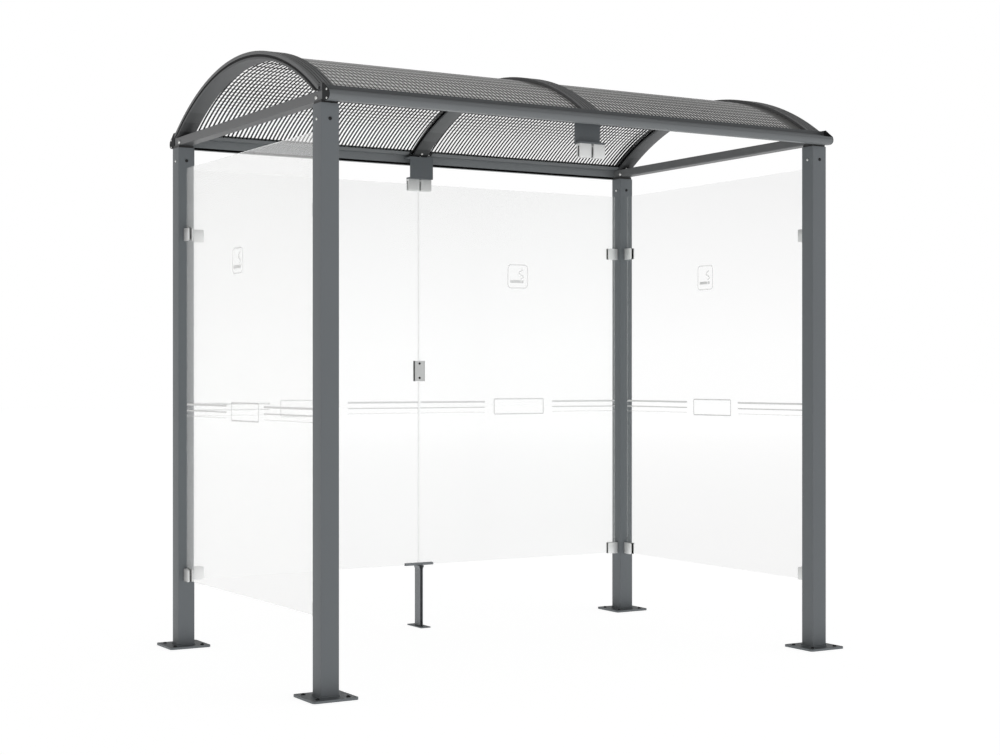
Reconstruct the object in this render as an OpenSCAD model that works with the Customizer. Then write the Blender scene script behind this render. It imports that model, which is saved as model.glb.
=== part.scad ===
// Smoking shelter: four square posts on bolted base plates, an arched roof of
// cellular sheet between two gutters, and glass panels on three sides.
//
// Millimetres. X runs along the shelter, the open front faces -Y and Z is up.
// The origin is on the ground, in the middle of the shelter's footprint.

/* [Overall size] */
// Distance between the centre lines of the left and right posts
length = 2540; // [2000:10:3200]
// Distance between the centre lines of the front and rear posts
depth = 1580; // [1200:10:2000]
// Height of the post tops above the ground
post_top = 2366; // [2340:2:2700]
// Rise of the roof from the gutters to its crown
arch_rise = 242; // [180:2:360]

/* [Posts] */
// Width of the square post tube
post = 80; // [70:1:100]
// Wall of the post tube
post_wall = 4; // [2:0.5:6]
// Outer corner radius of the post tube
post_corner = 6; // [5:0.5:10]
// Width of the square base plate
base_plate = 200; // [160:5:260]
// Thickness of the base plate
base_plate_t = 10; // [6:1:20]
// Corner radius of the base plate
base_plate_corner = 14; // [4:1:24]
// Distance between neighbouring anchor holes
anchor_spacing = 135; // [120:5:200]
// Diameter of an anchor hole
anchor_hole = 14; // [10:1:18]
// Thickness of the plate between a post and its rail
head_plate_t = 12; // [6:1:20]
// How far the head plate sits inside the faces of the post
head_plate_inset = 4; // [2:1:8]

/* [Side rails] */
// Width of the side rail
rail_w = 60; // [50:1:70]
// Height of the side rail
rail_h = 40; // [40:1:60]
// Wall of the side rail
rail_wall = 3; // [2:0.5:5]
// Outer corner radius of the side rail
rail_corner = 4; // [3.5:0.5:8]

/* [Gutters] */
// How far a gutter reaches past the centre line of the end posts
gutter_over = 30; // [20:1:38]
// Wall of the gutter
gutter_wall = 3; // [2:0.5:4]
// Depth of the box along the gutter's inner edge
box_d = 16; // [12:1:20]
// Height of the box along the gutter's inner edge
box_h = 24; // [20:1:40]
// Distance from the box to the trough
shelf_d = 20; // [16:1:30]
// Depth of the trough's sloping floor
slope_d = 19; // [12:1:30]
// Fall of the trough's sloping floor
slope_fall = 8; // [4:1:12]
// Depth of the trough's level floor
floor_d = 23; // [16:1:40]
// Radius of the rounded nose
nose_r = 22; // [16:1:30]
// Height of the lip above the middle of the nose
lip_h = 13; // [8:1:20]
// How far the lip leans back
lip_lean = 4; // [2:1:8]
// Thickness of the gutter's end caps
cap_t = 3; // [2:0.5:5]

/* [Roof] */
// Width of an arch and of its cover
arch_w = 80; // [70:1:100]
// Thickness of the arch cover
cover_t = 15; // [8:1:20]
// Thickness of the roof sheet
sheet_t = 10; // [6:1:16]
// Thickness of the bar under the sheet
bar_t = 6; // [4:1:10]
// Distance from the centre line of an arch to the end of a sheet
sheet_gap = 12; // [5:1:20]
// How far the seal sits inside the outer side of the end arch
seal_inset = 3; // [1:1:6]

/* [Glass] */
// Thickness of the glass
glass_t = 8; // [6:1:12]
// Height of the bottom edge of the glass
glass_bottom = 318; // [200:2:400]
// Height of a glass panel
glass_h = 1950; // [1800:10:2000]
// Gap between the glass and the face of a post
glass_gap = 12; // [10:1:20]
// Gap between the two rear panels
glass_joint = 8; // [4:1:12]

/* [Glass clips] */
// How far a clip stands out from its post
clip_l = 60; // [50:1:70]
// Width of a clip along the edge of the glass
clip_w = 60; // [40:1:80]
// Thickness of a clip across the glass
clip_t = 28; // [24:1:36]
// Thickness of the solid back of a clip
clip_back = 10; // [6:1:12]
// Thickness of the rubber between a clip and the glass
lining_t = 1; // [0.5:0.5:2]
// How far the rubber ends inside the edges of the clip
lining_inset = 4; // [2:1:8]
// Height of the lower clips above the bottom edge of the glass
low_clip = 25; // [20:1:200]
// Distance of the upper clips below the top edge of the glass
high_clip = 315; // [100:5:500]

/* [Middle brackets] */
// Width of the hanger plate under the middle arch
hanger_w = 130; // [126:1:160]
// Thickness of the hanger plate
hanger_t = 8; // [5:1:10]
// Distance from the glass to the back of the hanger plate
hanger_back = 24; // [16:1:30]
// How far the clips' flange passes the middle of the glass
hanger_lip = 14; // [14:1:30]
// Gap between the top edge of the glass and the clips' flange
hanger_gap = 25; // [12:1:40]
// Gap between the two clips on a hanger
hanger_clip_gap = 12; // [6:1:20]
// Width of the plates that join the rear panels
joint_plate_w = 54; // [40:1:80]
// Height of the plates that join the rear panels
joint_plate_h = 104; // [60:1:140]
// Thickness of the plates that join the rear panels
joint_plate_t = 4; // [3:1:12]
// Height of the middle of the joint plates
joint_plate_z = 1310; // [800:2:1800]

/* [Glass foot] */
// Length of the foot plate across the shelter
foot_plate_d = 150; // [130:5:200]
// Width of the foot plate
foot_plate_w = 56; // [40:1:80]
// Thickness of the foot plate
foot_plate_t = 6; // [4:1:10]
// Distance between the holes in the foot plate
foot_hole_spacing = 110; // [80:5:120]
// Diameter of a hole in the foot plate
foot_hole = 11; // [8:1:14]
// Width of the channel that makes the stem
stem_w = 18; // [12:1:24]
// Depth of the channel that makes the stem
stem_d = 55; // [40:1:70]
// Wall of the channel that makes the stem
stem_wall = 3; // [2:0.5:5]
// How far the stem widens at its top, on each side
stem_flare = 7; // [3:1:12]
// Height over which the stem widens
flare_h = 18; // [10:1:40]
// Length of the saddle that holds the glass
saddle_l = 160; // [100:5:200]
// Height of the saddle
saddle_h = 13; // [8:1:30]
// Thickness of the saddle's floor and sides
saddle_t = 3; // [2:0.5:6]

/* [Hidden] */
left = -length / 2;
right = length / 2;
front = -depth / 2;
rear = depth / 2;
slot = glass_t + 2 * lining_t;
glass_top = glass_bottom + glass_h;
low_clip_z = glass_bottom + low_clip;
high_clip_z = glass_top - high_clip;

rail_bottom = post_top + head_plate_t;
rail_top = rail_bottom + rail_h;
gutter_top = rail_top + box_h;
gutter_half = length / 2 + gutter_over;
trough_in = box_d + shelf_d;
roof_half = depth / 2 + post / 2 - head_plate_inset - trough_in;
nose_y = trough_in + slope_d + floor_d;
nose_z = nose_r - rail_h + 1 - slope_fall;
trough_bottom = nose_z - nose_r;

cover_r = (pow(roof_half, 2) + pow(arch_rise, 2)) / (2 * arch_rise);
arch_z = gutter_top + arch_rise - cover_r;
sheet_r = cover_r - cover_t;
bar_r = sheet_r - sheet_t;
bar_inner_r = bar_r - bar_t;
arch_low = arch_z + sqrt(pow(bar_inner_r, 2) - pow(roof_half, 2));

hanger_top = arch_low + 1;
hanger_bottom = glass_top + hanger_gap;
hanger_clip_x = hanger_clip_gap / 2 + clip_w / 2;
joint_y = glass_t / 2 + joint_plate_t;
foot_top = glass_bottom - lining_t - saddle_t;
eps = 0.5;

// ---- profiles ----

module rounded_rectangle(x, y, r) {
  square([x - 2 * r, y], center = true);
  square([x, y - 2 * r], center = true);
  for (sx = [-1, 1], sy = [-1, 1])
    translate([sx * (x / 2 - r), sy * (y / 2 - r)])
      circle(r = r, $fn = 48);
}

module tube_section(x, y, wall, r) {
  difference() {
    rounded_rectangle(x, y, r);
    rounded_rectangle(x - 2 * wall, y - 2 * wall, r - wall);
  }
}

// A profile drawn in Y and Z, and run along X from the given start
module along_x(start, run) {
  translate([start, 0, 0])
    rotate([90, 0, 90])
      linear_extrude(run)
        children();
}

// The gutter's profile: the origin is the lower corner of its box, on the rail
module gutter_section() {
  w = gutter_wall;
  difference() {
    square([box_d, box_h]);
    translate([w, w])
      square([box_d - 2 * w, box_h - 2 * w]);
  }
  translate([box_d - eps, 0])
    square([shelf_d + w + eps, w]);
  translate([trough_in, 0]) {
    polygon([
      [0, w], [0, trough_bottom + slope_fall], [slope_d, trough_bottom],
      [slope_d + floor_d, trough_bottom], [slope_d + floor_d, trough_bottom + w],
      [slope_d + w / 4, trough_bottom + w], [w, trough_bottom + slope_fall + w * 0.7],
      [w, w]
    ]);
  }
  translate([nose_y, nose_z]) {
    intersection() {
      difference() {
        circle(r = nose_r, $fn = 96);
        circle(r = nose_r - w, $fn = 96);
      }
      translate([-eps, -nose_r - 1])
        square([nose_r + 2, nose_r + 1]);
    }
    polygon([
      [nose_r - w, 0], [nose_r, 0],
      [nose_r - lip_lean, lip_h], [nose_r - lip_lean - w, lip_h]
    ]);
  }
}

module cap_section() {
  polygon([
    [0, 0], [trough_in, 0], [trough_in, trough_bottom + slope_fall],
    [trough_in + slope_d, trough_bottom], [nose_y, trough_bottom],
    [nose_y, nose_z], [nose_y + nose_r, nose_z],
    [nose_y + nose_r - lip_lean, nose_z + lip_h],
    [trough_in + 16, box_h - 4], [trough_in + 12, box_h], [0, box_h]
  ]);
  translate([nose_y, nose_z])
    intersection() {
      circle(r = nose_r, $fn = 96);
      translate([-eps, -nose_r - 1])
        square([nose_r + 2, nose_r + 1 + eps]);
    }
}

// ---- frame ----

module post_at(x, y) {
  color("dimgray")
    translate([x, y, base_plate_t])
      linear_extrude(post_top - base_plate_t)
        tube_section(post, post, post_wall, post_corner);
}

module base_plate_at(x, y) {
  color("gray")
    translate([x, y, 0])
      difference() {
        linear_extrude(base_plate_t)
          rounded_rectangle(base_plate, base_plate, base_plate_corner);
        for (sx = [-1, 1], sy = [-1, 1])
          translate([sx * anchor_spacing / 2, sy * anchor_spacing / 2, -1])
            cylinder(d = anchor_hole, h = base_plate_t + 2, $fn = 48);
      }
}

module post_front_left() post_at(left, front);
module post_front_right() post_at(right, front);
module post_rear_left() post_at(left, rear);
module post_rear_right() post_at(right, rear);

module base_plate_front_left() base_plate_at(left, front);
module base_plate_front_right() base_plate_at(right, front);
module base_plate_rear_left() base_plate_at(left, rear);
module base_plate_rear_right() base_plate_at(right, rear);

module head_plates() {
  w = post - 2 * head_plate_inset;
  color("black")
    for (x = [left, right], y = [front, rear])
      translate([x - w / 2, y - w / 2, post_top])
        cube([w, w, head_plate_t]);
}

module side_rail_at(x) {
  run = 2 * (roof_half + trough_in);
  color("slategray")
    translate([x, run / 2, rail_bottom + rail_h / 2])
      rotate([90, 0, 0])
        linear_extrude(run)
          tube_section(rail_w, rail_h, rail_wall, rail_corner);
}

module side_rail_left() side_rail_at(left);
module side_rail_right() side_rail_at(right);

// ---- gutters ----

module gutter_at_rear() {
  color("gray")
    translate([0, roof_half, rail_top])
      along_x(-gutter_half, 2 * gutter_half)
        gutter_section();
}

module gutter_caps_at_rear() {
  color("black")
    translate([0, roof_half, rail_top])
      for (x = [-gutter_half - cap_t, gutter_half])
        along_x(x, cap_t)
          cap_section();
}

module gutter_front() mirror([0, 1, 0]) gutter_at_rear();
module gutter_rear() gutter_at_rear();
module gutter_caps_front() mirror([0, 1, 0]) gutter_caps_at_rear();
module gutter_caps_rear() gutter_caps_at_rear();

// ---- roof ----

// A curved strip of the roof between two radii, from x_from to x_to, cut off
// level at its feet
module curved(r_in, r_out, x_from, x_to, foot) {
  run = x_to - x_from;
  intersection() {
    translate([x_from, 0, arch_z])
      rotate([0, 90, 0])
        difference() {
          cylinder(r = r_out, h = run, $fn = 360);
          translate([0, 0, -1])
            cylinder(r = r_in, h = run + 2, $fn = 360);
        }
    translate([x_from - 1, -roof_half, foot])
      cube([run + 2, 2 * roof_half, 2 * arch_rise + box_h]);
  }
}

module arch_at(x, foot) {
  color("slategray")
    curved(bar_inner_r, bar_r, x - arch_w / 2, x + arch_w / 2, foot);
}

module arch_cover_at(x) {
  color("gray")
    curved(sheet_r, cover_r, x - arch_w / 2, x + arch_w / 2, rail_top);
}

module roof_seal(x_from, x_to) {
  color("black")
    curved(bar_r, sheet_r, x_from, x_to, rail_top);
}

module roof_sheet(x_from, x_to) {
  color("whitesmoke")
    curved(bar_r, sheet_r, x_from, x_to, rail_top);
}

module arch_left() arch_at(left, rail_top);
module arch_middle() arch_at(0, hanger_top);
module arch_right() arch_at(right, rail_top);

module arch_cover_left() arch_cover_at(left);
module arch_cover_middle() arch_cover_at(0);
module arch_cover_right() arch_cover_at(right);

module roof_seal_left() roof_seal(left - arch_w / 2 + seal_inset, left + sheet_gap);
module roof_seal_middle() roof_seal(-sheet_gap, sheet_gap);
module roof_seal_right() roof_seal(right - sheet_gap, right + arch_w / 2 - seal_inset);

module roof_sheet_left() roof_sheet(left + sheet_gap, -sheet_gap);
module roof_sheet_right() roof_sheet(sheet_gap, right - sheet_gap);

// ---- glass ----

module side_glass_at(x) {
  run = depth - post - 2 * glass_gap;
  color("lightblue", 0.4)
    translate([x - glass_t / 2, -run / 2, glass_bottom])
      cube([glass_t, run, glass_h]);
}

module rear_glass_from(x) {
  run = length / 2 - post / 2 - glass_gap - glass_joint / 2;
  color("lightblue", 0.4)
    translate([x, rear - glass_t / 2, glass_bottom])
      cube([run, glass_t, glass_h]);
}

module glass_left() side_glass_at(left);
module glass_right() side_glass_at(right);
module glass_rear_left() rear_glass_from(left + post / 2 + glass_gap);
module glass_rear_right() rear_glass_from(glass_joint / 2);

// ---- clips and their rubber ----

// A clip standing out along +X, with its back at the origin and the glass in the
// plane y = 0
module clip() {
  difference() {
    translate([0, -clip_t / 2, -clip_w / 2])
      cube([clip_l, clip_t, clip_w]);
    translate([clip_back, -slot / 2, -clip_w / 2 - 1])
      cube([clip_l, slot, clip_w + 2]);
  }
}

module clip_lining() {
  w = clip_w - 2 * lining_inset;
  difference() {
    translate([clip_back, -slot / 2, -w / 2])
      cube([clip_l - clip_back - lining_inset, slot, w]);
    translate([clip_back + lining_t, -glass_t / 2, -w / 2 - 1])
      cube([clip_l, glass_t, w + 2]);
  }
}

// Places for the clips that hold a side panel, on the post at the given corner.
// sy is the direction from the post to the glass.
module side_clip_places(x, y, sy) {
  for (z = [low_clip_z, high_clip_z])
    translate([x, y + sy * post / 2, z])
      rotate([0, 0, sy * 90])
        children();
}

// Places for the clips that hold a rear panel. sx is the direction to the glass.
module rear_clip_places(x, sx) {
  for (z = [low_clip_z, high_clip_z])
    translate([x + sx * post / 2, rear, z])
      rotate([0, 0, sx > 0 ? 0 : 180])
        children();
}

module hanger_clip_places(y) {
  for (sx = [-1, 1])
    translate([sx * hanger_clip_x, y, hanger_bottom])
      rotate([0, 90, 0])
        children();
}

module clips_front_left()
  color("silver") side_clip_places(left, front, 1) clip();

module clips_front_right()
  color("silver") side_clip_places(right, front, 1) clip();

module clips_rear_left()
  color("silver") {
    side_clip_places(left, rear, -1) clip();
    rear_clip_places(left, 1) clip();
  }

module clips_rear_right()
  color("silver") {
    side_clip_places(right, rear, -1) clip();
    rear_clip_places(right, -1) clip();
  }

module hanger_clips_front() color("silver") hanger_clip_places(front) clip();
module hanger_clips_rear() color("silver") hanger_clip_places(rear) clip();

module glass_linings() {
  color("black") {
    for (x = [left, right]) {
      side_clip_places(x, front, 1) clip_lining();
      side_clip_places(x, rear, -1) clip_lining();
    }
    rear_clip_places(left, 1) clip_lining();
    rear_clip_places(right, -1) clip_lining();
    for (y = [front, rear])
      hanger_clip_places(y) clip_lining();
    translate([0, rear, foot_top + saddle_t])
      saddle_lining();
  }
}

module saddle_lining() {
  side = foot_top + saddle_h - glass_bottom;
  for (s = [-1, 1])
    translate([-saddle_l / 2, s > 0 ? glass_t / 2 : -slot / 2, 0])
      cube([saddle_l, lining_t, side]);
  translate([-saddle_l / 2, -slot / 2, 0])
    cube([saddle_l, slot, lining_t]);
}

// ---- middle brackets ----

module hanger_at_rear() {
  web = rear - hanger_back - hanger_t;
  color("slategray") {
    translate([-hanger_w / 2, web, hanger_bottom])
      cube([hanger_w, hanger_t, hanger_top - hanger_bottom]);
    translate([-hanger_w / 2, web, hanger_bottom])
      cube([hanger_w, hanger_t + hanger_back + hanger_lip, hanger_t]);
    translate([-hanger_w / 2, web, hanger_top - hanger_t])
      cube([hanger_w, roof_half + trough_in - web, hanger_t]);
  }
}

module hanger_front() mirror([0, 1, 0]) hanger_at_rear();
module hanger_rear() hanger_at_rear();

module glass_joint_plates() {
  color("silver")
    for (y = [rear - joint_y, rear + glass_t / 2])
      translate([-joint_plate_w / 2, y, joint_plate_z - joint_plate_h / 2])
        cube([joint_plate_w, joint_plate_t, joint_plate_h]);
}

// ---- glass foot ----

// The stem seen from the front, made smaller all round by the given inset
module stem_outline(inset) {
  half = stem_w / 2 - inset;
  wide = half + stem_flare;
  polygon([
    [-half, foot_plate_t], [half, foot_plate_t],
    [half, foot_top - flare_h], [wide, foot_top],
    [-wide, foot_top], [-half, foot_top - flare_h]
  ]);
}

module glass_foot() {
  saddle_d = slot + 2 * saddle_t;
  color("dimgray") {
    difference() {
      translate([0, rear + stem_d / 2, 0])
        rotate([90, 0, 0])
          linear_extrude(stem_d)
            stem_outline(0);
      translate([0, rear + stem_d / 2 - stem_wall, 0])
        rotate([90, 0, 0])
          linear_extrude(stem_d)
            stem_outline(stem_wall);
    }
    translate([0, rear, foot_top])
      difference() {
        translate([-saddle_l / 2, -saddle_d / 2, 0])
          cube([saddle_l, saddle_d, saddle_h]);
        translate([-saddle_l / 2 - 1, -slot / 2, saddle_t])
          cube([saddle_l + 2, slot, saddle_h]);
      }
  }
}

module glass_foot_plate() {
  color("gray")
    translate([0, rear, 0])
      difference() {
        translate([-foot_plate_w / 2, -foot_plate_d / 2, 0])
          cube([foot_plate_w, foot_plate_d, foot_plate_t]);
        for (s = [-1, 1])
          translate([0, s * foot_hole_spacing / 2, -1])
            cylinder(d = foot_hole, h = foot_plate_t + 2, $fn = 48);
      }
}

post_front_left();
post_front_right();
post_rear_left();
post_rear_right();
base_plate_front_left();
base_plate_front_right();
base_plate_rear_left();
base_plate_rear_right();
head_plates();
side_rail_left();
side_rail_right();
gutter_front();
gutter_rear();
gutter_caps_front();
gutter_caps_rear();
arch_left();
arch_middle();
arch_right();
arch_cover_left();
arch_cover_middle();
arch_cover_right();
roof_seal_left();
roof_seal_middle();
roof_seal_right();
roof_sheet_left();
roof_sheet_right();
glass_left();
glass_right();
glass_rear_left();
glass_rear_right();
clips_front_left();
clips_front_right();
clips_rear_left();
clips_rear_right();
hanger_front();
hanger_rear();
hanger_clips_front();
hanger_clips_rear();
glass_linings();
glass_joint_plates();
glass_foot();
glass_foot_plate();
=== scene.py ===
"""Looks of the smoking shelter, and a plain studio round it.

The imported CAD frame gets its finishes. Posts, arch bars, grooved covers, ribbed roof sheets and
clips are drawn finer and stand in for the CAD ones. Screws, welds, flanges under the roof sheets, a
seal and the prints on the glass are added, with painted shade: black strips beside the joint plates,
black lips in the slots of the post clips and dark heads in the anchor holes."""

import math

import bmesh
import bpy
from mathutils import Matrix, Vector


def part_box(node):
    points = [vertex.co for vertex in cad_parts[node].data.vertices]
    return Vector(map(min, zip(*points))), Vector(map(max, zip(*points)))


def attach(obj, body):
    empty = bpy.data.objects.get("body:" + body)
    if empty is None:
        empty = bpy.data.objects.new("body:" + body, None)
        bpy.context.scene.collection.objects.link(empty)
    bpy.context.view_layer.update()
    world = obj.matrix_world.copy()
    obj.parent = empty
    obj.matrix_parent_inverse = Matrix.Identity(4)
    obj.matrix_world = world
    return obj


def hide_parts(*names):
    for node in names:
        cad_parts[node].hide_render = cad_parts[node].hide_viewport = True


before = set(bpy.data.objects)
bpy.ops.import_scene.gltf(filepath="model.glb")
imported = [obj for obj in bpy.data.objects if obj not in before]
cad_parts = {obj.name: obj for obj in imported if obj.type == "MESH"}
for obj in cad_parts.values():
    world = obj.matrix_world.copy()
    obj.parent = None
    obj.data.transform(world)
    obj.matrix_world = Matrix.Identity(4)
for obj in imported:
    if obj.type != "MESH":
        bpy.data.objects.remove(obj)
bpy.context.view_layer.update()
MM = 0.001

# ---- camera: the photograph's place, in metres and degrees ----

camera_data = bpy.data.cameras.new("camera")
camera_data.lens = 62.82
camera_data.sensor_width = 36
camera_data.clip_end = 300
camera = bpy.data.objects.new("camera", camera_data)
camera.location = (-4.247, -7.108, 1.277)
camera.rotation_euler = (math.radians(90), 0, math.radians(-30.93))
bpy.context.scene.collection.objects.link(camera)
bpy.context.scene.camera = camera

# ---- places taken from the frame ----

OUT_X = {"left": -1, "right": 1}
OUT_Y = {"front": -1, "rear": 1}
CORNERS = [(end, side) for end in OUT_Y for side in OUT_X]
ARCHES = ("left", "middle", "right")


def middle(node):
    """The middle of a CAD node's box."""
    low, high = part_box(node)
    return (low + high) / 2


post_low, post_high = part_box("post_rear_right")
post_x = (post_low.x + post_high.x) / 2
post_y = (post_low.y + post_high.y) / 2
post_half = (post_high.x - post_low.x) / 2


def post_place(end, side):
    """The middle of a post, seen from above."""
    return OUT_X[side] * post_x, OUT_Y[end] * post_y


rail_low, rail_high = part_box("side_rail_right")
gutter_low, gutter_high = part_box("gutter_rear")
cap_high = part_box("gutter_caps_rear")[1]
hanger_low, hanger_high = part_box("hanger_front")
plates_low, plates_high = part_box("glass_joint_plates")

cover_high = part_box("arch_cover_middle")[1]
roof_half = cover_high.y
arch_half = cover_high.x
arch_rise = cover_high.z - gutter_high.z
cover_r = (roof_half**2 + arch_rise**2) / (2 * arch_rise)
arch_z = cover_high.z - cover_r
sheet_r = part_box("roof_sheet_left")[1].z - arch_z
bar_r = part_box("arch_left")[1].z - arch_z
SEAT_GAP = 0.3 * MM
roof_foot = rail_high.z + SEAT_GAP

glass_low, glass_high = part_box("glass_rear_right")
glass_outer_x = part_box("glass_left")[0].x

# ---- node materials ----


def tone(red, green, blue):
    """A colour written as on a screen, from 0 to 255, in the renderer's own numbers."""
    shares = [c / 255 for c in (red, green, blue)]
    linear = [s / 12.92 if s <= 0.04045 else ((s + 0.055) / 1.055) ** 2.4 for s in shares]
    return (*linear, 1)


def dimmed(colour, share):
    """The same colour, lighter or darker."""
    return (*[c * share for c in colour[:3]], 1)


class Nodes:
    """A node tree, built up from empty."""

    def __init__(self, tree):
        self.tree = tree
        self.tree.nodes.clear()

    def add(self, kind, inputs=None, **settings):
        """Adds a node. Inputs go by name or number, each a plain value or another node's socket."""
        node = self.tree.nodes.new(kind)
        for name, value in settings.items():
            setattr(node, name, value)
        for name, value in (inputs or {}).items():
            self.feed(node.inputs[name], value)
        return node

    def feed(self, socket, value):
        """Links a socket to another, or sets its value."""
        if isinstance(value, bpy.types.NodeSocket):
            self.tree.links.new(value, socket)
        else:
            socket.default_value = value

    def span(self, value, low, high, start=0.0, end=1.0, smooth=False):
        """Turns a value that runs from start to end into one from low to high."""
        kind = "SMOOTHSTEP" if smooth else "LINEAR"
        node = self.add(
            "ShaderNodeMapRange",
            {"Value": value, "From Min": start, "From Max": end, "To Min": low, "To Max": high},
            interpolation_type=kind,
        )
        return node.outputs["Result"]

    def maths(self, operation, *values):
        """One sum on up to three values."""
        return self.add("ShaderNodeMath", dict(enumerate(values)), operation=operation).outputs[0]

    def within(self, value, low, high):
        """1 where the value lies between two others, else 0."""
        return self.maths("COMPARE", value, (low + high) / 2, (high - low) / 2)

    def mix(self, share, first, second):
        """A colour between two others."""
        node = self.add("ShaderNodeMix", {0: share, 6: first, 7: second}, data_type="RGBA")
        return node.outputs[2]

    def blend(self, share, first, second):
        """A shader between two others."""
        return self.add("ShaderNodeMixShader", {0: share, 1: first, 2: second}).outputs[0]


class Finish(Nodes):
    """A material built from nodes, on the object's own coordinates in metres."""

    def __init__(self, name):
        self.material = bpy.data.materials.new(name)
        self.material.use_nodes = True
        super().__init__(self.material.node_tree)
        self.output = self.add("ShaderNodeOutputMaterial")
        self.place = self.add("ShaderNodeTexCoord").outputs["Object"]

    def noise(self, scale, detail=2.0, stretch=(1, 1, 1), offset=(0, 0, 0)):
        """Soft noise, with scale features in a metre, squeezed along the axes by stretch."""
        inputs = {"Vector": self.place, "Scale": stretch, "Location": offset}
        moved = self.add("ShaderNodeMapping", inputs).outputs[0]
        inputs = {"Vector": moved, "Scale": scale, "Detail": detail}
        return self.add("ShaderNodeTexNoise", inputs).outputs["Fac"]

    def bump(self, height, strength, distance):
        """A surface roughened by a height."""
        inputs = {"Height": height, "Strength": strength, "Distance": distance}
        return self.add("ShaderNodeBump", inputs).outputs["Normal"]

    def axis(self, letter):
        """One of the object's own coordinates."""
        return self.add("ShaderNodeSeparateXYZ", {"Vector": self.place}).outputs[letter]

    def surface(self, colour, roughness, normal, inputs):
        """The surface's main shader, with any other inputs by name."""
        main = {"Base Color": colour, "Roughness": roughness, "Normal": normal}
        return self.add("ShaderNodeBsdfPrincipled", main | inputs).outputs[0]

    def clear(self, colour=(1, 1, 1, 1)):
        """A shader that lets what lies behind it show."""
        return self.add("ShaderNodeBsdfTransparent", {"Color": colour}).outputs[0]

    def done(self, surface):
        """Ends the material with a surface."""
        self.feed(self.output.inputs["Surface"], surface)
        return self.material

    def solid(self, colour, roughness, normal, gloss=0.5, metallic=0.0):
        """Ends the material with an opaque surface."""
        inputs = {"Specular IOR Level": gloss, "Metallic": metallic}
        return self.done(self.surface(colour, roughness, normal, inputs))


def powder_paint(name, colour, roughness, shade_zones=(), gloss=0.1):
    """Powder coat: nearly even colour, a fine orange peel and a satin gloss.

    A zone is a range of depth from the middle plane, a range of height, and the share of the
    colour that is left there."""
    finish = Finish(name)
    cloud = finish.noise(3, 3)
    speckle = finish.noise(1400, 2, offset=(3, 1, 2))
    peel = finish.noise(420, 3, offset=(7, 5, 1))
    even = finish.mix(cloud, dimmed(colour, 0.94), dimmed(colour, 1.06))
    shown = finish.mix(finish.span(speckle, 0, 1, 0.35, 0.65), dimmed(colour, 0.9), even)
    # Each shade zone darkens the colour there: painted shade.
    for depths, heights, share in shade_zones:
        depth = finish.within(finish.maths("ABSOLUTE", finish.axis("Y")), *depths)
        zone = finish.maths("MULTIPLY", depth, finish.within(finish.axis("Z"), *heights))
        shown = finish.mix(finish.span(zone, 1, share), (0, 0, 0, 1), shown)
    height = finish.maths("ADD", peel, finish.maths("MULTIPLY", speckle, 0.3))
    rough = finish.span(cloud, roughness - 0.05, roughness + 0.05)
    return finish.solid(shown, rough, finish.bump(height, 0.25, 0.12 * MM), gloss)


def moulded_plastic(name, colour):
    """Black plastic with a fine spark-eroded grain."""
    finish = Finish(name)
    grain = finish.noise(1600, 3)
    cloud = finish.noise(12, 2)
    shown = finish.mix(cloud, dimmed(colour, 0.8), dimmed(colour, 1.2))
    rough = finish.span(grain, 0.45, 0.65)
    return finish.solid(shown, rough, finish.bump(grain, 0.3, 0.1 * MM), gloss=0.4)


def rubber(name):
    """Black seal rubber, matt and a little dusty."""
    finish = Finish(name)
    dust = finish.noise(60, 4)
    grain = finish.noise(900, 2)
    shown = finish.mix(dust, tone(14, 14, 15), tone(34, 34, 35))
    rough = finish.span(dust, 0.7, 0.9)
    return finish.solid(shown, rough, finish.bump(grain, 0.2, 0.1 * MM), gloss=0.3)


def brushed_steel(name, light=1.0):
    """Stainless steel with fine upright brush lines, made lighter or darker."""
    finish = Finish(name)
    lines = finish.noise(1200, 3, stretch=(1, 1, 0.04))
    cloud = finish.noise(30, 2)
    low = dimmed(tone(198, 199, 199), light)
    brushed = finish.mix(lines, low, dimmed(tone(224, 225, 224), light))
    shown = finish.mix(finish.span(cloud, 0, 0.35), brushed, dimmed(low, 0.9))
    rough = finish.span(lines, 0.3, 0.46)
    return finish.solid(shown, rough, finish.bump(lines, 0.3, 0.05 * MM), metallic=0.4)


def zinc(name):
    """Bright plated screws."""
    finish = Finish(name)
    cloud = finish.noise(300, 3)
    shown = finish.mix(cloud, tone(205, 206, 205), tone(240, 240, 237))
    rough = finish.span(cloud, 0.2, 0.38)
    return finish.solid(shown, rough, finish.bump(cloud, 0.15, 0.05 * MM), metallic=1.0)


def clear_glass(name, colour, transmission, shine=0.4):
    """Toughened glass. The share that is not transmission shows as a white haze, which is painted
    reflection of the bright studio. Lamps shine through it.
    """
    finish = Finish(name)
    waves = finish.noise(5, 1, stretch=(1, 1, 0.25))
    film = finish.noise(40, 3)
    glass = finish.surface(
        finish.mix(film, dimmed(colour, 0.99), colour),
        finish.span(film, 0.0, 0.01),
        finish.bump(waves, 0.02, 0.2 * MM),
        {
            "IOR": 1.08,
            "Transmission Weight": transmission,
            "Coat Weight": shine,
            "Coat Roughness": 0.25,
            "Coat IOR": 1.5,
        },
    )
    path = finish.add("ShaderNodeLightPath")
    lamps = finish.maths("MAXIMUM", path.outputs["Is Shadow Ray"], path.outputs["Is Diffuse Ray"])
    return finish.done(finish.blend(lamps, glass, finish.clear((0.94, 0.96, 0.95, 1))))


SHEET_CLEAR = (0.99, 0.99, 0.99, 1)


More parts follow.
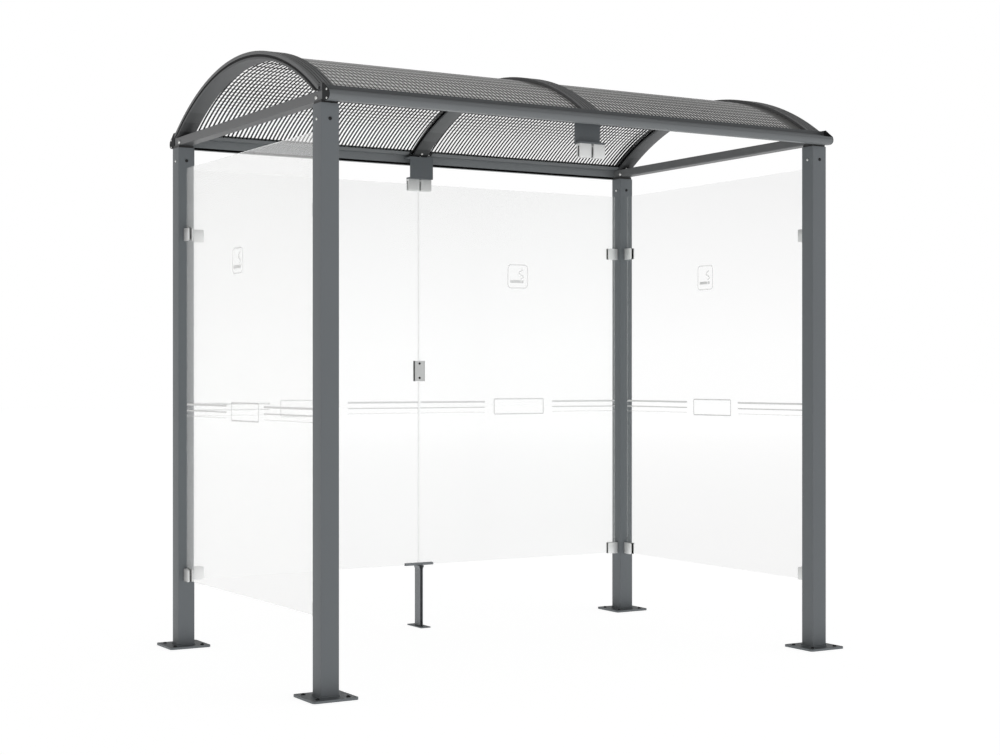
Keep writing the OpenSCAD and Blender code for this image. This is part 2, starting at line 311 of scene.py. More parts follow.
def clear_sheet(name):
    """The clear walls of the roof sheet: a gloss over what lies behind them."""
    finish = Finish(name)
    haze = finish.noise(220, 2, stretch=(1, 0.1, 0.1))
    gloss = finish.add(
        "ShaderNodeBsdfGlossy",
        {
            "Color": (0.9, 0.92, 0.92, 1),
            "Roughness": 0.12,
            "Normal": finish.bump(haze, 0.15, 0.1 * MM),
        },
    )
    fresnel = finish.add("ShaderNodeFresnel", {"IOR": 1.45})
    share = finish.maths("MULTIPLY", fresnel.outputs[0], finish.span(haze, 0.15, 0.25))
    return finish.done(finish.blend(share, finish.clear(SHEET_CLEAR), gloss.outputs[0]))


# The pattern on the roof sheets: stripe and rung widths are shares of their pitch, and other shares
# say how much of the stripes' colour is left.
WIDE_STRIPE = 0.73
NARROW_STRIPE = 0.5
# Outside, the ribs show as near-white stripes, a lit copy of the ribs that are near black inside:
# painted light on top, painted shade below.
LIT_STRIPE_TONE = tone(248, 248, 247)
GAP_TONE = tone(88, 88, 88)
RUNG_TONE = tone(20, 21, 22)
BAND_TONE = tone(112, 112, 111)
RUNG_PITCH = 14.3 * MM
RUNG_SHARE = 0.4
RUNG_SLOPE = 0.14
CROSSED_SHARE = 0.45
CROWN_SHARES = (0.73, 0.78)
CROWN_RUNG_SHARE = 0.22
CROWN_HEIGHTS = (2.5, 2.58)
RUNGS_FADE = (roof_half * 0.4, roof_half * 0.6)
BAND_FADE_X = 15 * MM
BAND_FADE_Z = 40 * MM


def sheet_top(name, start, pitch, band_from, band_height):
    """The roof sheet's top wall.

    Outside, pale stripes run along the ribs and dark rungs cross the gaps between them. Where the
    roof is steep the rungs dim the stripes too. A plain band lies beside the next arch. From below
    the wall is clear, with rungs near the crown only."""
    finish = Finish(name)
    x, y, z = [finish.axis(letter) for letter in "XYZ"]
    streak = finish.noise(160, 3, stretch=(1, 0.05, 0.05))
    along = finish.maths("FRACT", finish.maths("DIVIDE", finish.maths("SUBTRACT", x, start), pitch))
    half_stripe = finish.span(x, WIDE_STRIPE / 2, NARROW_STRIPE / 2, -post_x, post_x / 2)
    stripe = finish.maths("COMPARE", along, 0.5, half_stripe)
    level = finish.maths("MULTIPLY_ADD", y, -RUNG_SLOPE, z)
    rung = finish.maths("FRACT", finish.maths("DIVIDE", level, RUNG_PITCH))
    crossed = finish.maths("LESS_THAN", rung, RUNG_SHARE)
    gap = finish.mix(crossed, GAP_TONE, RUNG_TONE)
    even = finish.mix(streak, dimmed(LIT_STRIPE_TONE, 0.94), LIT_STRIPE_TONE)
    ridged = finish.mix(crossed, even, dimmed(LIT_STRIPE_TONE, CROSSED_SHARE))
    crown_top = finish.mix(streak, *[dimmed(LIT_STRIPE_TONE, share) for share in CROWN_SHARES])
    steep = finish.span(finish.maths("ABSOLUTE", y), 0, 1, *RUNGS_FADE)
    pale = finish.mix(steep, crown_top, ridged)
    plain = finish.maths(
        "MULTIPLY",
        finish.span(x, 0, 1, band_from, band_from + BAND_FADE_X),
        finish.span(z, 0, 1, band_height, band_height + BAND_FADE_Z),
    )
    outside = finish.surface(
        finish.mix(plain, finish.mix(stripe, gap, pale), BAND_TONE),
        finish.span(streak, 0.35, 0.5),
        finish.bump(streak, 0.1, 0.1 * MM),
        {"Specular IOR Level": 0.3},
    )
    dark = finish.add("ShaderNodeBsdfDiffuse", {"Color": RUNG_TONE}).outputs[0]
    crown = finish.maths("LESS_THAN", rung, finish.span(z, 0, CROWN_RUNG_SHARE, *CROWN_HEIGHTS))
    below = finish.blend(crown, finish.clear(SHEET_CLEAR), dark)
    from_below = finish.add("ShaderNodeNewGeometry").outputs["Backfacing"]
    return finish.done(finish.blend(from_below, outside, below))


def sheet_rib(name, colour):
    """The ribs inside the roof sheet."""
    finish = Finish(name)
    streak = finish.noise(160, 3, stretch=(1, 0.05, 0.05))
    shown = finish.mix(streak, dimmed(colour, 0.8), dimmed(colour, 1.2))
    rough = finish.span(streak, 0.5, 0.7)
    return finish.solid(shown, rough, finish.bump(streak, 0.2, 0.2 * MM), gloss=0.05)


def frosted_print(name, cover):
    """Frosted film on the glass, which hides that share of what is behind it."""
    finish = Finish(name)
    grain = finish.noise(2500, 2)
    film = finish.surface(
        finish.mix(grain, tone(216, 216, 216), tone(232, 232, 232)),
        finish.span(grain, 0.7, 0.9),
        finish.bump(grain, 0.2, 0.05 * MM),
        {"Specular IOR Level": 0.2},
    )
    share = finish.span(grain, cover - 0.04, cover + 0.04)
    return finish.done(finish.blend(share, finish.clear(), film))


# Zones of painted shade, where the paint is darkened: on the gutters, under the rails, on the caps
# over the troughs and towards the feet of the arches. FAR is beyond any part, and the lap takes a
# zone past a face.
FAR = 9
ZONE_LAP = 1 * MM
SLOPE_D = 19 * MM
SLOPE_FALL = 8 * MM
slope_in = rail_high.y - ZONE_LAP
slope_out = rail_high.y + SLOPE_D
slope_top = gutter_low.z + SLOPE_FALL + ZONE_LAP / 2
GUTTER_SHADE_ZONES = (
    ((0, slope_in), (0, FAR), 0.6),
    ((slope_in, slope_out), (0, slope_top), 0.03),
    ((slope_out, FAR), (0, FAR), 0.8),
)
RAIL_SHADE_ZONES = (((0, FAR), (0, rail_low.z + ZONE_LAP), 0.5),)
CAP_SHADE_ZONES = (((slope_in, FAR), (0, FAR), 0.2),)
ARCH_SHADE_ZONES = (
    ((0.60, 0.67), (0, FAR), 0.85),
    ((0.67, 0.73), (0, FAR), 0.68),
    ((0.73, FAR), (0, FAR), 0.45),
)

POST_PAINT = powder_paint("post_paint", tone(103, 107, 110), 0.46)
HANGER_PAINT = powder_paint("hanger_paint", tone(92, 96, 99), 0.46)
FOOT_PAINT = powder_paint("foot_paint", tone(120, 123, 126), 0.46)
RAIL_PAINT = powder_paint("rail_paint", tone(101, 102, 103), 0.42, RAIL_SHADE_ZONES)
# A darker copy of the frame's paint for the arch bars: painted shade on their undersides. Its shade
# zones darken it further towards the feet.
ARCH_PAINT = powder_paint("arch_paint", tone(86, 87, 88), 0.45, ARCH_SHADE_ZONES)
# The covers' sides and groove floors take darker copies of the cover's paint: painted shade.
COVER_PAINT = powder_paint("cover_paint", tone(124, 125, 126), 0.42)
COVER_SIDE_SHADE = powder_paint("cover_side_shade", tone(100, 101, 102), 0.42)
GROOVE_SHADE = powder_paint("groove_shade", tone(52, 53, 54), 0.6, (), 0)
GUTTER_SHADE = powder_paint("gutter_shade", tone(8, 8, 8), 0.9, (), 0)
# The gutters' paint is lighter: painted light on the inner walls of the troughs, which keep it in
# full, while the shade zones darken the rest.
GUTTER_PAINT = powder_paint("gutter_paint", tone(116, 119, 121), 0.42, GUTTER_SHADE_ZONES)
DARK_TRIM = moulded_plastic("dark_trim", tone(34, 34, 35))
RUBBER = rubber("black_rubber")
STEEL = brushed_steel("brushed_steel")
# A lighter copy of the steel: painted light that lifts the post's dark reflection in the rear right
# clips.
LIT_STEEL = brushed_steel("lit_steel", 1.2)
DULL_STEEL = brushed_steel("dull_steel", 0.8)
ZINC = zinc("zinc")
CAP_PAINT = powder_paint("cap_paint", tone(98, 99, 101), 0.6, CAP_SHADE_ZONES, 0.05)
DARK_SCREW = moulded_plastic("dark_screw", tone(14, 14, 15))
# The haze is painted reflection: more on the left pane, less on the right.
GLASS = clear_glass("glass", (1, 1, 1, 1), 0.92)
GLASS_REFLECTION_VEILS = {
    "left": clear_glass("glass_left", (1, 1, 1, 1), 0.84),
    "right": clear_glass("glass_right", (1, 1, 1, 1), 0.99, 0.1),
}
GLASS_EDGE = clear_glass("glass_edge", (0.8, 0.82, 0.81, 1), 0.9)
SHEET = clear_sheet("clear_sheet")
# Near black: painted shade on the ribs, seen from below against the sky.
SHADED_RIB = sheet_rib("sheet_rib", tone(20, 20, 21))
PRINT = frosted_print("frosted_print", 0.86)
FAINT_PRINT = frosted_print("faint_print", 0.36)

# ---- mesh helpers ----


def made_of(name, mesh):
    """An object of a bmesh, which is used up."""
    data = bpy.data.meshes.new(name)
    mesh.to_mesh(data)
    mesh.free()
    made = bpy.data.objects.new(name, data)
    bpy.context.scene.collection.objects.link(made)
    return made


def piece(name, mesh, material, replaces=(), smooth=30):
    """Makes an object of a bmesh, gives it its finish and lets it ride on the frame."""
    bmesh.ops.recalc_face_normals(mesh, faces=mesh.faces)
    made = made_of(name, mesh)
    made.data.materials.append(material)
    made.data.shade_smooth()
    made.data.set_sharp_from_angle(angle=math.radians(smooth))
    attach(made, "root")
    if replaces:
        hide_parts(*replaces)
    return made


def bridge(mesh, rings, loop=False):
    """Joins rings of vertices with quads, and closes the ends unless the rings form a loop."""
    pairs = list(zip(rings, rings[1:]))
    if loop:
        pairs.append((rings[-1], rings[0]))
    for ring, following in pairs:
        for i in range(len(ring)):
            j = (i + 1) % len(ring)
            mesh.faces.new((ring[i], ring[j], following[j], following[i]))
    if not loop:
        mesh.faces.new(list(reversed(rings[0])))
        mesh.faces.new(rings[-1])


def arched(mesh, outline, stations, half=roof_half, lowest=roof_foot):
    """Sweeps a closed outline of (x, radius) points over the roof.

    It ends upright, half the depth from the middle, and level where it reaches the lowest height."""
    rings = []
    for i in range(stations + 1):
        share = 2 * i / stations - 1
        ring = []
        for x, radius in outline:
            angle = share * math.asin(half / radius)
            y = radius * math.sin(angle)
            z = arch_z + radius * math.cos(angle)
            ring.append(mesh.verts.new((x, y, max(z, lowest))))
        rings.append(ring)
    bridge(mesh, rings)


def rectangle(x_from, x_to, low, high):
    """A closed outline with four corners."""
    return [(x_from, low), (x_to, low), (x_to, high), (x_from, high)]


def rounded(u_from, u_to, v_from, v_to, corner, steps=6):
    """A rectangle with round corners, as points."""
    left, right = u_from + corner, u_to - corner
    low, high = v_from + corner, v_to - corner
    points = []
    for quarter, (u, v) in enumerate(((right, high), (left, high), (left, low), (right, low))):
        for i in range(steps + 1):
            angle = math.radians(90 * (quarter + i / steps))
            points.append((u + corner * math.cos(angle), v + corner * math.sin(angle)))
    return points


def block(mesh, low, high):
    """A box between two corners."""
    rings = []
    for z in (low[2], high[2]):
        corners = rectangle(low[0], high[0], low[1], high[1])
        rings.append([mesh.verts.new((x, y, z)) for x, y in corners])
    bridge(mesh, rings)


def facing(place, normal):
    """A matrix whose Z axis points along normal, from place."""
    z = Vector(normal).normalized()
    x = Vector((0, 0, 1)).cross(z)
    if x.length < 0.01:
        x = Vector((1, 0, 0))
    x.normalize()
    y = z.cross(x)
    return Matrix.Translation(place) @ Matrix((x, y, z)).transposed().to_4x4()


def hexagon(angle, across):
    """Distance from the middle to the side of a hexagon with that size across its flats."""
    sixth = math.pi / 3
    return across / 2 / math.cos(angle % sixth - sixth / 2)


# Shares of a screw head's radius or height. Its dome is a list of pairs, radius and height.
SCREW_STEPS = 24
SCREW_HEIGHT = 0.55
SCREW_SOCKET = 1.05
SOCKET_FLOOR = 0.3
SCREW_DOME = ((1.0, 0.0), (1.0, 0.2), (0.94, 0.5), (0.82, 0.8), (0.7, 0.95))


def screw(mesh, place, normal, radius):
    """A button head with a hexagon socket, standing on place."""
    height = radius * SCREW_HEIGHT
    socket = radius * SCREW_SOCKET
    turn = facing(place, normal)
    angles = [2 * math.pi * i / SCREW_STEPS for i in range(SCREW_STEPS)]
    rings = []
    for wide, up in SCREW_DOME:
        reach = radius * wide
        level = [(reach * math.cos(a), reach * math.sin(a), height * up) for a in angles]
        rings.append([mesh.verts.new(turn @ Vector(p)) for p in level])
    for up in (height, height * SOCKET_FLOOR):
        level = []
        for a in angles:
            reach = hexagon(a, socket)
            level.append((reach * math.cos(a), reach * math.sin(a), up))
        rings.append([mesh.verts.new(turn @ Vector(p)) for p in level])
    bridge(mesh, rings)


def screws(name, places, radius, material):
    """One piece of several screws, each a place and the way it faces."""
    mesh = bmesh.new()
    for place, normal in places:
        screw(mesh, place, normal, radius)
    piece(name, mesh, material)


# ---- CAD nodes that keep their shape ----


def coat(node, material, edge=0.0):
    """Gives a CAD node its finish and eases its sharp edges by that much."""
    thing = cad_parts[node]
    thing.data.materials.clear()
    thing.data.materials.append(material)
    if edge:
        weld = thing.modifiers.new("weld", "WELD")
        weld.merge_threshold = 0.01 * MM
        ease = thing.modifiers.new("ease", "BEVEL")
        ease.width = edge
        ease.segments = 2
        ease.angle_limit = math.radians(40)
        ease.harden_normals = True
    return thing


def coat_glass(node, across, glass=GLASS):
    """Gives a pane its clear faces, which look along one axis, and its ground edges."""
    thing = coat(node, glass)
    thing.data.materials.append(GLASS_EDGE)
    for face in thing.data.polygons:
        if abs(getattr(face.normal, across)) < 0.5:
            face.material_index = 1


def coat_gutter(node):
    """Gives a gutter its paint, and the slope under its trough a darker one."""
    thing = coat(node, GUTTER_PAINT)
    # The slope under each trough is near black: painted shade.
    thing.data.materials.append(GUTTER_SHADE)
    for face in thing.data.polygons:
        spot = face.center
        if slope_in < abs(spot.y) < slope_out and spot.z < slope_top:
            face.material_index = 1


PLATE_EDGE = 1.0 * MM
TRIM_EDGE = 0.6 * MM
FOOT_PLATE_EDGE = 0.8 * MM

for end, side in CORNERS:
    coat(f"base_plate_{end}_{side}", POST_PAINT, PLATE_EDGE)
coat("head_plates", DARK_TRIM, TRIM_EDGE)
for side in OUT_X:
    coat(f"side_rail_{side}", RAIL_PAINT)
    coat_glass(f"glass_{side}", "x", GLASS_REFLECTION_VEILS[side])
    coat_glass(f"glass_rear_{side}", "y")
for end in OUT_Y:
    coat_gutter(f"gutter_{end}")
    coat(f"gutter_caps_{end}", CAP_PAINT, TRIM_EDGE)
    coat(f"hanger_{end}", HANGER_PAINT, PLATE_EDGE)
for place in ARCHES:
    coat(f"roof_seal_{place}", RUBBER)
coat("glass_linings", RUBBER)
coat("glass_joint_plates", DULL_STEEL, TRIM_EDGE)
coat("glass_foot", FOOT_PAINT, TRIM_EDGE)
coat("glass_foot_plate", POST_PAINT, FOOT_PLATE_EDGE)

# ---- posts ----

POST_CORNER = 3 * MM
POST_WALL = 4 * MM


def post_tube(end, side):
    """A square tube with tight corners."""
    x, y = post_place(end, side)
    inside = post_half - POST_WALL
    outer = rounded(x - post_half, x + post_half, y - post_half, y + post_half, POST_CORNER)
    inner = rounded(x - inside, x + inside, y - inside, y + inside, POST_CORNER / 2)
    rings = []
    mesh = bmesh.new()
    low, high = post_low.z, post_high.z
    for outline, z in ((outer, low), (outer, high), (inner, high), (inner, low)):
        rings.append([mesh.verts.new((u, v, z)) for u, v in outline])
    bridge(mesh, rings, loop=True)
    name = f"post_tube_{end}_{side}"
    piece(name, mesh, POST_PAINT, [f"post_{end}_{side}"])


for end, side in CORNERS:
    post_tube(end, side)

# ---- roof ----

# Ribs are a share of their pitch wide, and wider beside the right arch. The band beside the middle
# arch shows above its height only.
RIB_PITCH = 19.5 * MM
RIB_SHARE = 0.42
CROWDED_SHARE = 0.62
RIB_T = 1.5 * MM
BAND = 70 * MM
MIDDLE_BAND_HEIGHT = 2.56
SHEET_WALL = 0.8 * MM
SHEET_GAP = 0.5 * MM
SHEET_STATIONS = 56
ARCH_STATIONS = 80


def roof_sheet(side):
    """A cellular sheet: a clear box, with dark ribs from front to back inside it."""
    low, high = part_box(f"roof_sheet_{side}")
    count = round((high.x - low.x) / RIB_PITCH)
    pitch = (high.x - low.x) / count
    shell = bmesh.new()
    sheet_half = roof_half - SHEET_GAP
    arched(shell, rectangle(low.x, high.x, bar_r, sheet_r), SHEET_STATIONS, sheet_half)
    skin = piece(f"roof_sheet_skin_{side}", shell, SHEET, [f"roof_sheet_{side}"])
    arch, band_height = ("middle", MIDDLE_BAND_HEIGHT) if side == "left" else ("right", 0)
    band_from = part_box(f"arch_{arch}")[0].x - BAND
    top = sheet_top(f"sheet_top_{side}", low.x, pitch, band_from, band_height)
    skin.data.materials.append(top)
    for face in skin.data.polygons:
        if face.normal.z > 0.5:
            face.material_index = 1

    rib_top = sheet_r - SHEET_WALL
    ribs = bmesh.new()
    for i in range(count):
        x = low.x + (i + 0.5) * pitch
        crowded = side == "right" and x > band_from
        half = pitch * (CROWDED_SHARE if crowded else RIB_SHARE) / 2
        outline = rectangle(x - half, x + half, rib_top - RIB_T, rib_top)
        arched(ribs, outline, SHEET_STATIONS, sheet_half)
    piece(f"roof_sheet_ribs_{side}", ribs, SHADED_RIB)


for side in OUT_X:
    roof_sheet(side)

BAR_DEPTH = 11 * MM
BAR_CORNER = 2 * MM


def arch_bar(place):
    """The bar under the roof sheet, cut level where its feet rest on what carries them."""
    x = middle(f"arch_{place}").x
    deep = bar_r - BAR_DEPTH
    outline = rounded(x - arch_half, x + arch_half, deep, bar_r, BAR_CORNER, 2)
    lowest = hanger_high.z + SEAT_GAP if place == "middle" else roof_foot
    mesh = bmesh.new()
    arched(mesh, outline, ARCH_STATIONS, lowest=lowest)
    piece(f"arch_bar_{place}", mesh, ARCH_PAINT, [f"arch_{place}"], smooth=35)


for place in ARCHES:
    arch_bar(place)

EDGE_DEPTH = 26 * MM
EDGE_T = 1.5 * MM
EDGE_LAP = 0.1 * MM
EDGE_TO_ARCH = 0.5 * MM
EDGE_TO_HANGER = 1 * MM
EDGE_STEPS = 6


def edge_profiles():
    """The flanges under the feet of the roof sheets, between the arches and the hangers."""
    outer = bar_r - EDGE_LAP
    start = math.asin((roof_half - EDGE_DEPTH) / outer)
    end = math.asin((roof_half - SHEET_GAP) / outer)
    left_run = (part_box("arch_left")[1].x + EDGE_TO_ARCH, hanger_low.x - EDGE_TO_HANGER)
    right_run = (hanger_high.x + EDGE_TO_HANGER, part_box("arch_right")[0].x - EDGE_TO_ARCH)
    mesh = bmesh.new()
    for x_from, x_to in (left_run, right_run):
        for way in (-1, 1):
            rings = []
            for i in range(EDGE_STEPS + 1):
                angle = start + (end - start) * i / EDGE_STEPS
                ring = []
                for x, down in rectangle(x_from, x_to, EDGE_T, 0):
                    y = way * outer * math.sin(angle)
                    z = max(arch_z + outer * math.cos(angle), roof_foot - EDGE_LAP)
                    ring.append(mesh.verts.new((x, y, z - down)))
                rings.append(ring)
            bridge(mesh, rings)
    piece("sheet_edge_profiles", mesh, GUTTER_PAINT)


edge_profiles()

GROOVES = (-20 * MM, -5 * MM, 12 * MM, 26 * MM)
GROOVE_W = 5 * MM
GROOVE_D = 4 * MM
COVER_EDGE = 1.5 * MM
COVER_REACH = 15 * MM


def cover_outline(x):
    """The cover's profile across the arch: a flat bottom, eased edges and grooves along the top."""
    points = [(x - arch_half, sheet_r), (x + arch_half, sheet_r)]
    points.append((x + arch_half, cover_r - COVER_EDGE))
    points.append((x + arch_half - COVER_EDGE, cover_r))
    for middle_of_groove in sorted(GROOVES, reverse=True):
        right_edge = x + middle_of_groove + GROOVE_W / 2
        left_edge = x + middle_of_groove - GROOVE_W / 2
        points += [(right_edge, cover_r), (right_edge, cover_r - GROOVE_D)]
        points += [(left_edge, cover_r - GROOVE_D), (left_edge, cover_r)]
    points.append((x - arch_half + COVER_EDGE, cover_r))
    points.append((x - arch_half, cover_r - COVER_EDGE))
    return points


def arch_cover(place):
    """The wide cover over an arch. Those at the ends also cover the ends of the gutters."""
    reach = 0 if place == "middle" else COVER_REACH
    cover = bmesh.new()
    outline = cover_outline(middle(f"arch_cover_{place}").x)
    arched(cover, outline, ARCH_STATIONS, roof_half + reach)
    name = f"arch_cover_profile_{place}"
    profile = piece(name, cover, COVER_PAINT, [f"arch_cover_{place}"])
    # Painted shade: the groove floors, and the other faces as deep that don't face sideways, take a
    # dark paint, and the side faces a darker copy of the cover's paint.
    profile.data.materials.append(GROOVE_SHADE)
    profile.data.materials.append(COVER_SIDE_SHADE)
    for face in profile.data.polygons:
        radius = math.hypot(face.center.y, face.center.z - arch_z)
        if abs(face.normal.x) > 0.9 and radius < cover_r - GROOVE_D:
            face.material_index = 2
        elif abs(face.normal.x) < 0.5 and radius < cover_r - GROOVE_D / 2:
            face.material_index = 1


for place in ARCHES:
    arch_cover(place)

# ---- clips ----

CLIP_WIDE = 60 * MM
CLIP_CORNER = 7 * MM
CLIP_EDGE = 1.0 * MM
CLIP_SLOT = 15 * MM
CLIP_BACK = 10 * MM
LINED_SLOT = 10.2 * MM
LIP_GAP = 0.1 * MM
LIP_INSET = 1 * MM
LIP_SHORT = 0.5 * MM


def modified(thing):
    """The mesh that an object's modifiers give, as a bmesh, after which the object goes."""
    shown = thing.evaluated_get(bpy.context.evaluated_depsgraph_get())
    mesh = bmesh.new()
    mesh.from_mesh(shown.to_mesh())
    bpy.data.objects.remove(thing)
    return mesh


def clip_mesh(long, thick, wide):
    """A glass clip along +X from the origin: a rounded block with a slot for the glass."""
    body = bmesh.new()
    block(body, (0, -thick / 2, -wide / 2), (long, thick / 2, wide / 2))
    outer = [e for e in body.edges if all(v.co.x > long / 2 for v in e.verts)]
    across = [e for e in outer if abs(e.verts[0].co.y - e.verts[1].co.y) > thick / 2]
    bmesh.ops.bevel(body, geom=across, offset=CLIP_CORNER, segments=8, profile=0.5, affect="EDGES")
    clip = made_of("clip", body)
    slot = bmesh.new()
    block(slot, (CLIP_BACK, -CLIP_SLOT / 2, -wide), (2 * long, CLIP_SLOT / 2, wide))
    cutter = made_of("slot", slot)
    cut = clip.modifiers.new("cut", "BOOLEAN")
    cut.object = cutter
    cut.operation = "DIFFERENCE"
    cut.solver = "EXACT"
    ease = clip.modifiers.new("ease", "BEVEL")
    ease.width = CLIP_EDGE
    ease.segments = 2
    ease.angle_limit = math.radians(40)
    made = modified(clip)
    bpy.data.objects.remove(cutter)
    return made


def lip_mesh(long, wide):
    """The lips on both sides of a clip's slot, with the clip along +X from the origin."""
    lips = bmesh.new()
    for way in (-1, 1):
        near, far = sorted((way * LINED_SLOT / 2, way * (CLIP_SLOT / 2 - LIP_GAP)))
        low = (CLIP_BACK + LIP_INSET, near, -wide / 2 + LIP_INSET)
        block(lips, low, (long - LIP_SHORT, far, wide / 2 - LIP_INSET))
    return lips


def add_copies(mesh, pattern, turns):
    """Adds a copy of a pattern mesh for each matrix."""
    data = bpy.data.meshes.new("pattern")
    pattern.to_mesh(data)
    for turn in turns:
        before = len(mesh.verts)
        mesh.from_mesh(data)
        mesh.verts.ensure_lookup_table()
        bmesh.ops.transform(mesh, matrix=turn, verts=mesh.verts[before:])
    bpy.data.meshes.remove(data)


clip_low, clip_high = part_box("clips_front_left")
clip_long = clip_high.y - clip_low.y
clip_thick = clip_high.x - clip_low.x
clip_heights = (clip_low.z + CLIP_WIDE / 2, clip_high.z - CLIP_WIDE / 2)
CLIP = clip_mesh(clip_long, clip_thick, CLIP_WIDE)
LIPS = lip_mesh(clip_long, CLIP_WIDE)


def standing(place, degrees):
    """A clip at a place, turned about the upright."""
    return Matrix.Translation(place) @ Matrix.Rotation(math.radians(degrees), 4, "Z")


def clips_at(end, side):
    """The clips on one post: two for the side glass, and two for the rear glass."""
    x, y = post_place(end, side)
    inward = -OUT_Y[end]
    turns = [standing((x, y + inward * post_half, z), inward * 90) for z in clip_heights]
    if end == "rear":
        inner_x = x - OUT_X[side] * post_half
        degrees = 0 if side == "left" else 180
        turns += [standing((inner_x, y, z), degrees) for z in clip_heights]
    mesh = bmesh.new()
    add_copies(mesh, CLIP, turns)
    lips = bmesh.new()
    add_copies(lips, LIPS, turns)
    # On the post clips the lips are black rubber: painted shade in the depth of the slots.
    piece(f"clip_slot_shade_{end}_{side}", lips, RUBBER)
    name = f"glass_clips_{end}_{side}"
    # Painted light: the rear right clips take the lighter copy of the steel.
    metal = LIT_STEEL if (end, side) == ("rear", "right") else STEEL
    piece(name, mesh, metal, [f"clips_{end}_{side}"], smooth=35)


for end, side in CORNERS:
    clips_at(end, side)


def hanger_clips_at(end):
    """The two clips that hang from a hanger, opening downwards, with bare steel lips."""
    low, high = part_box(f"hanger_clips_{end}")
    mesh = bmesh.new()
    turns = []
    for side in OUT_X:
        x = OUT_X[side] * (high.x - CLIP_WIDE / 2)
        down = Matrix.Rotation(math.radians(90), 4, "Y")
        turns.append(Matrix.Translation((x, OUT_Y[end] * post_y, high.z)) @ down)
    add_copies(mesh, CLIP, turns)
    add_copies(mesh, LIPS, turns)
    name = f"hanger_glass_clips_{end}"
    piece(name, mesh, STEEL, [f"hanger_clips_{end}"], smooth=35)


for end in OUT_Y:
    hanger_clips_at(end)
CLIP.free()
LIPS.free()

# ---- screws and welds ----

# Where the screws sit: down, in or up from the top, the end or the foot of what they hold.
POST_SCREW_DOWN = 62 * MM
RAIL_SCREW_DOWN = 26 * MM
RAIL_SCREW_IN = 60 * MM
CAP_SCREW_IN = 22 * MM
CAP_SCREWS_UP = (7 * MM, 42 * MM)
ARCH_SCREWS_UP = {"left": (45 * MM,), "middle": (14 * MM, 39 * MM), "right": (45 * MM,)}
GUTTER_SCREW_DOWN = 17 * MM
GUTTER_SCREWS_X = (0, 56 * MM)
JOINT_SCREW_UP = 17 * MM
JOINT_SCREW_DOWN = 13 * MM
ANCHOR_OUT = 135 * MM / 2

# Radii of their heads.
POST_SIDE_SCREW = 6 * MM
POST_FRONT_SCREW = 7.5 * MM
RAIL_SCREW = 9 * MM
CAP_SCREW = 5 * MM
ARCH_SCREW = 6.5 * MM
JOINT_SCREW = 6 * MM
HOLE_SHADE_HEAD = 9 * MM


def post_screws():
    """A bright screw on each side face of a post and a dark one on its front and back."""
    # The same screws are bright on the sides and dark on the front and back: painted light and
    # shade.
    bright = []
    dark = []
    z = post_high.z - POST_SCREW_DOWN
    for end, side in CORNERS:
        x, y = post_place(end, side)
        for way in (-1, 1):
            bright.append(((x + way * post_half, y, z), (way, 0, 0)))
            dark.append(((x, y + way * post_half, z), (0, way, 0)))
    screws("post_screws_side", bright, POST_SIDE_SCREW, ZINC)
    screws("post_screws_front", dark, POST_FRONT_SCREW, DARK_SCREW)


def rail_screws():
    """Screws through the ends of the side rails."""
    places = []
    half = (rail_high.x - rail_low.x) / 2
    z = rail_high.z - RAIL_SCREW_DOWN
    for end, side in CORNERS:
        x = OUT_X[side] * post_x
        y = OUT_Y[end] * (rail_high.y - RAIL_SCREW_IN)
        for way in (-1, 1):
            places.append(((x + way * half, y, z), (way, 0, 0)))
    screws("rail_screws", places, RAIL_SCREW, ZINC)


def cap_screws():
    """Two screws in each end cap of a gutter."""
    places = []
    for end, side in CORNERS:
        x = OUT_X[side] * cap_high.x
        y = OUT_Y[end] * (cap_high.y - CAP_SCREW_IN)
        for up in CAP_SCREWS_UP:
            places.append(((x, y, gutter_low.z + up), (OUT_X[side], 0, 0)))
    screws("cap_screws", places, CAP_SCREW, ZINC)


def arch_screws():
    """Screws up through each foot of each arch, and two into the gutters beside the hangers."""
    places = []
    deep = bar_r - BAR_DEPTH
    foot = math.asin(roof_half / deep)
    for place, rows in ARCH_SCREWS_UP.items():
        x = middle(f"arch_{place}").x
        for way in (-1, 1):
            for up in rows:
                angle = foot - up / deep
                normal = Vector((0, -way * math.sin(angle), -math.cos(angle)))
                places.append((Vector((x, 0, arch_z)) - normal * deep, normal))
    z = gutter_high.z - GUTTER_SCREW_DOWN
    for way in (-1, 1):
        for x in GUTTER_SCREWS_X:
            places.append(((x, way * cover_high.y, z), (0, -way, 0)))
    screws("arch_screws", places, ARCH_SCREW, ZINC)


post_screws()
rail_screws()
cap_screws()
arch_screws()

WELD_SIZE = 5 * MM
WELD_STEPS = 40
WELD_TURN_STEPS = 6
RIPPLE = 0.12
RIPPLE_ANGLE = 2.1


def weld_path():
    """Points round the foot of a post that stands at the origin, each with the way out."""
    inner = post_half - POST_CORNER
    corners = []
    for quarter in range(4):
        spin = Matrix.Rotation(math.radians(90 * quarter), 2)
        for i in range(WELD_TURN_STEPS + 1):
            angle = math.radians(90) * i / WELD_TURN_STEPS
            out = Vector((math.cos(angle), math.sin(angle)))
            corners.append((spin @ (Vector((inner, inner)) + out * POST_CORNER), spin @ out))
    path = []
    for (spot, out), (following, turned) in zip(corners, corners[1:] + corners[:1]):
        steps = WELD_STEPS if (following - spot).length > 4 * POST_CORNER else 1
        for i in range(steps):
            share = i / steps
            path.append((spot.lerp(following, share), out.lerp(turned, share).normalized()))
    return path


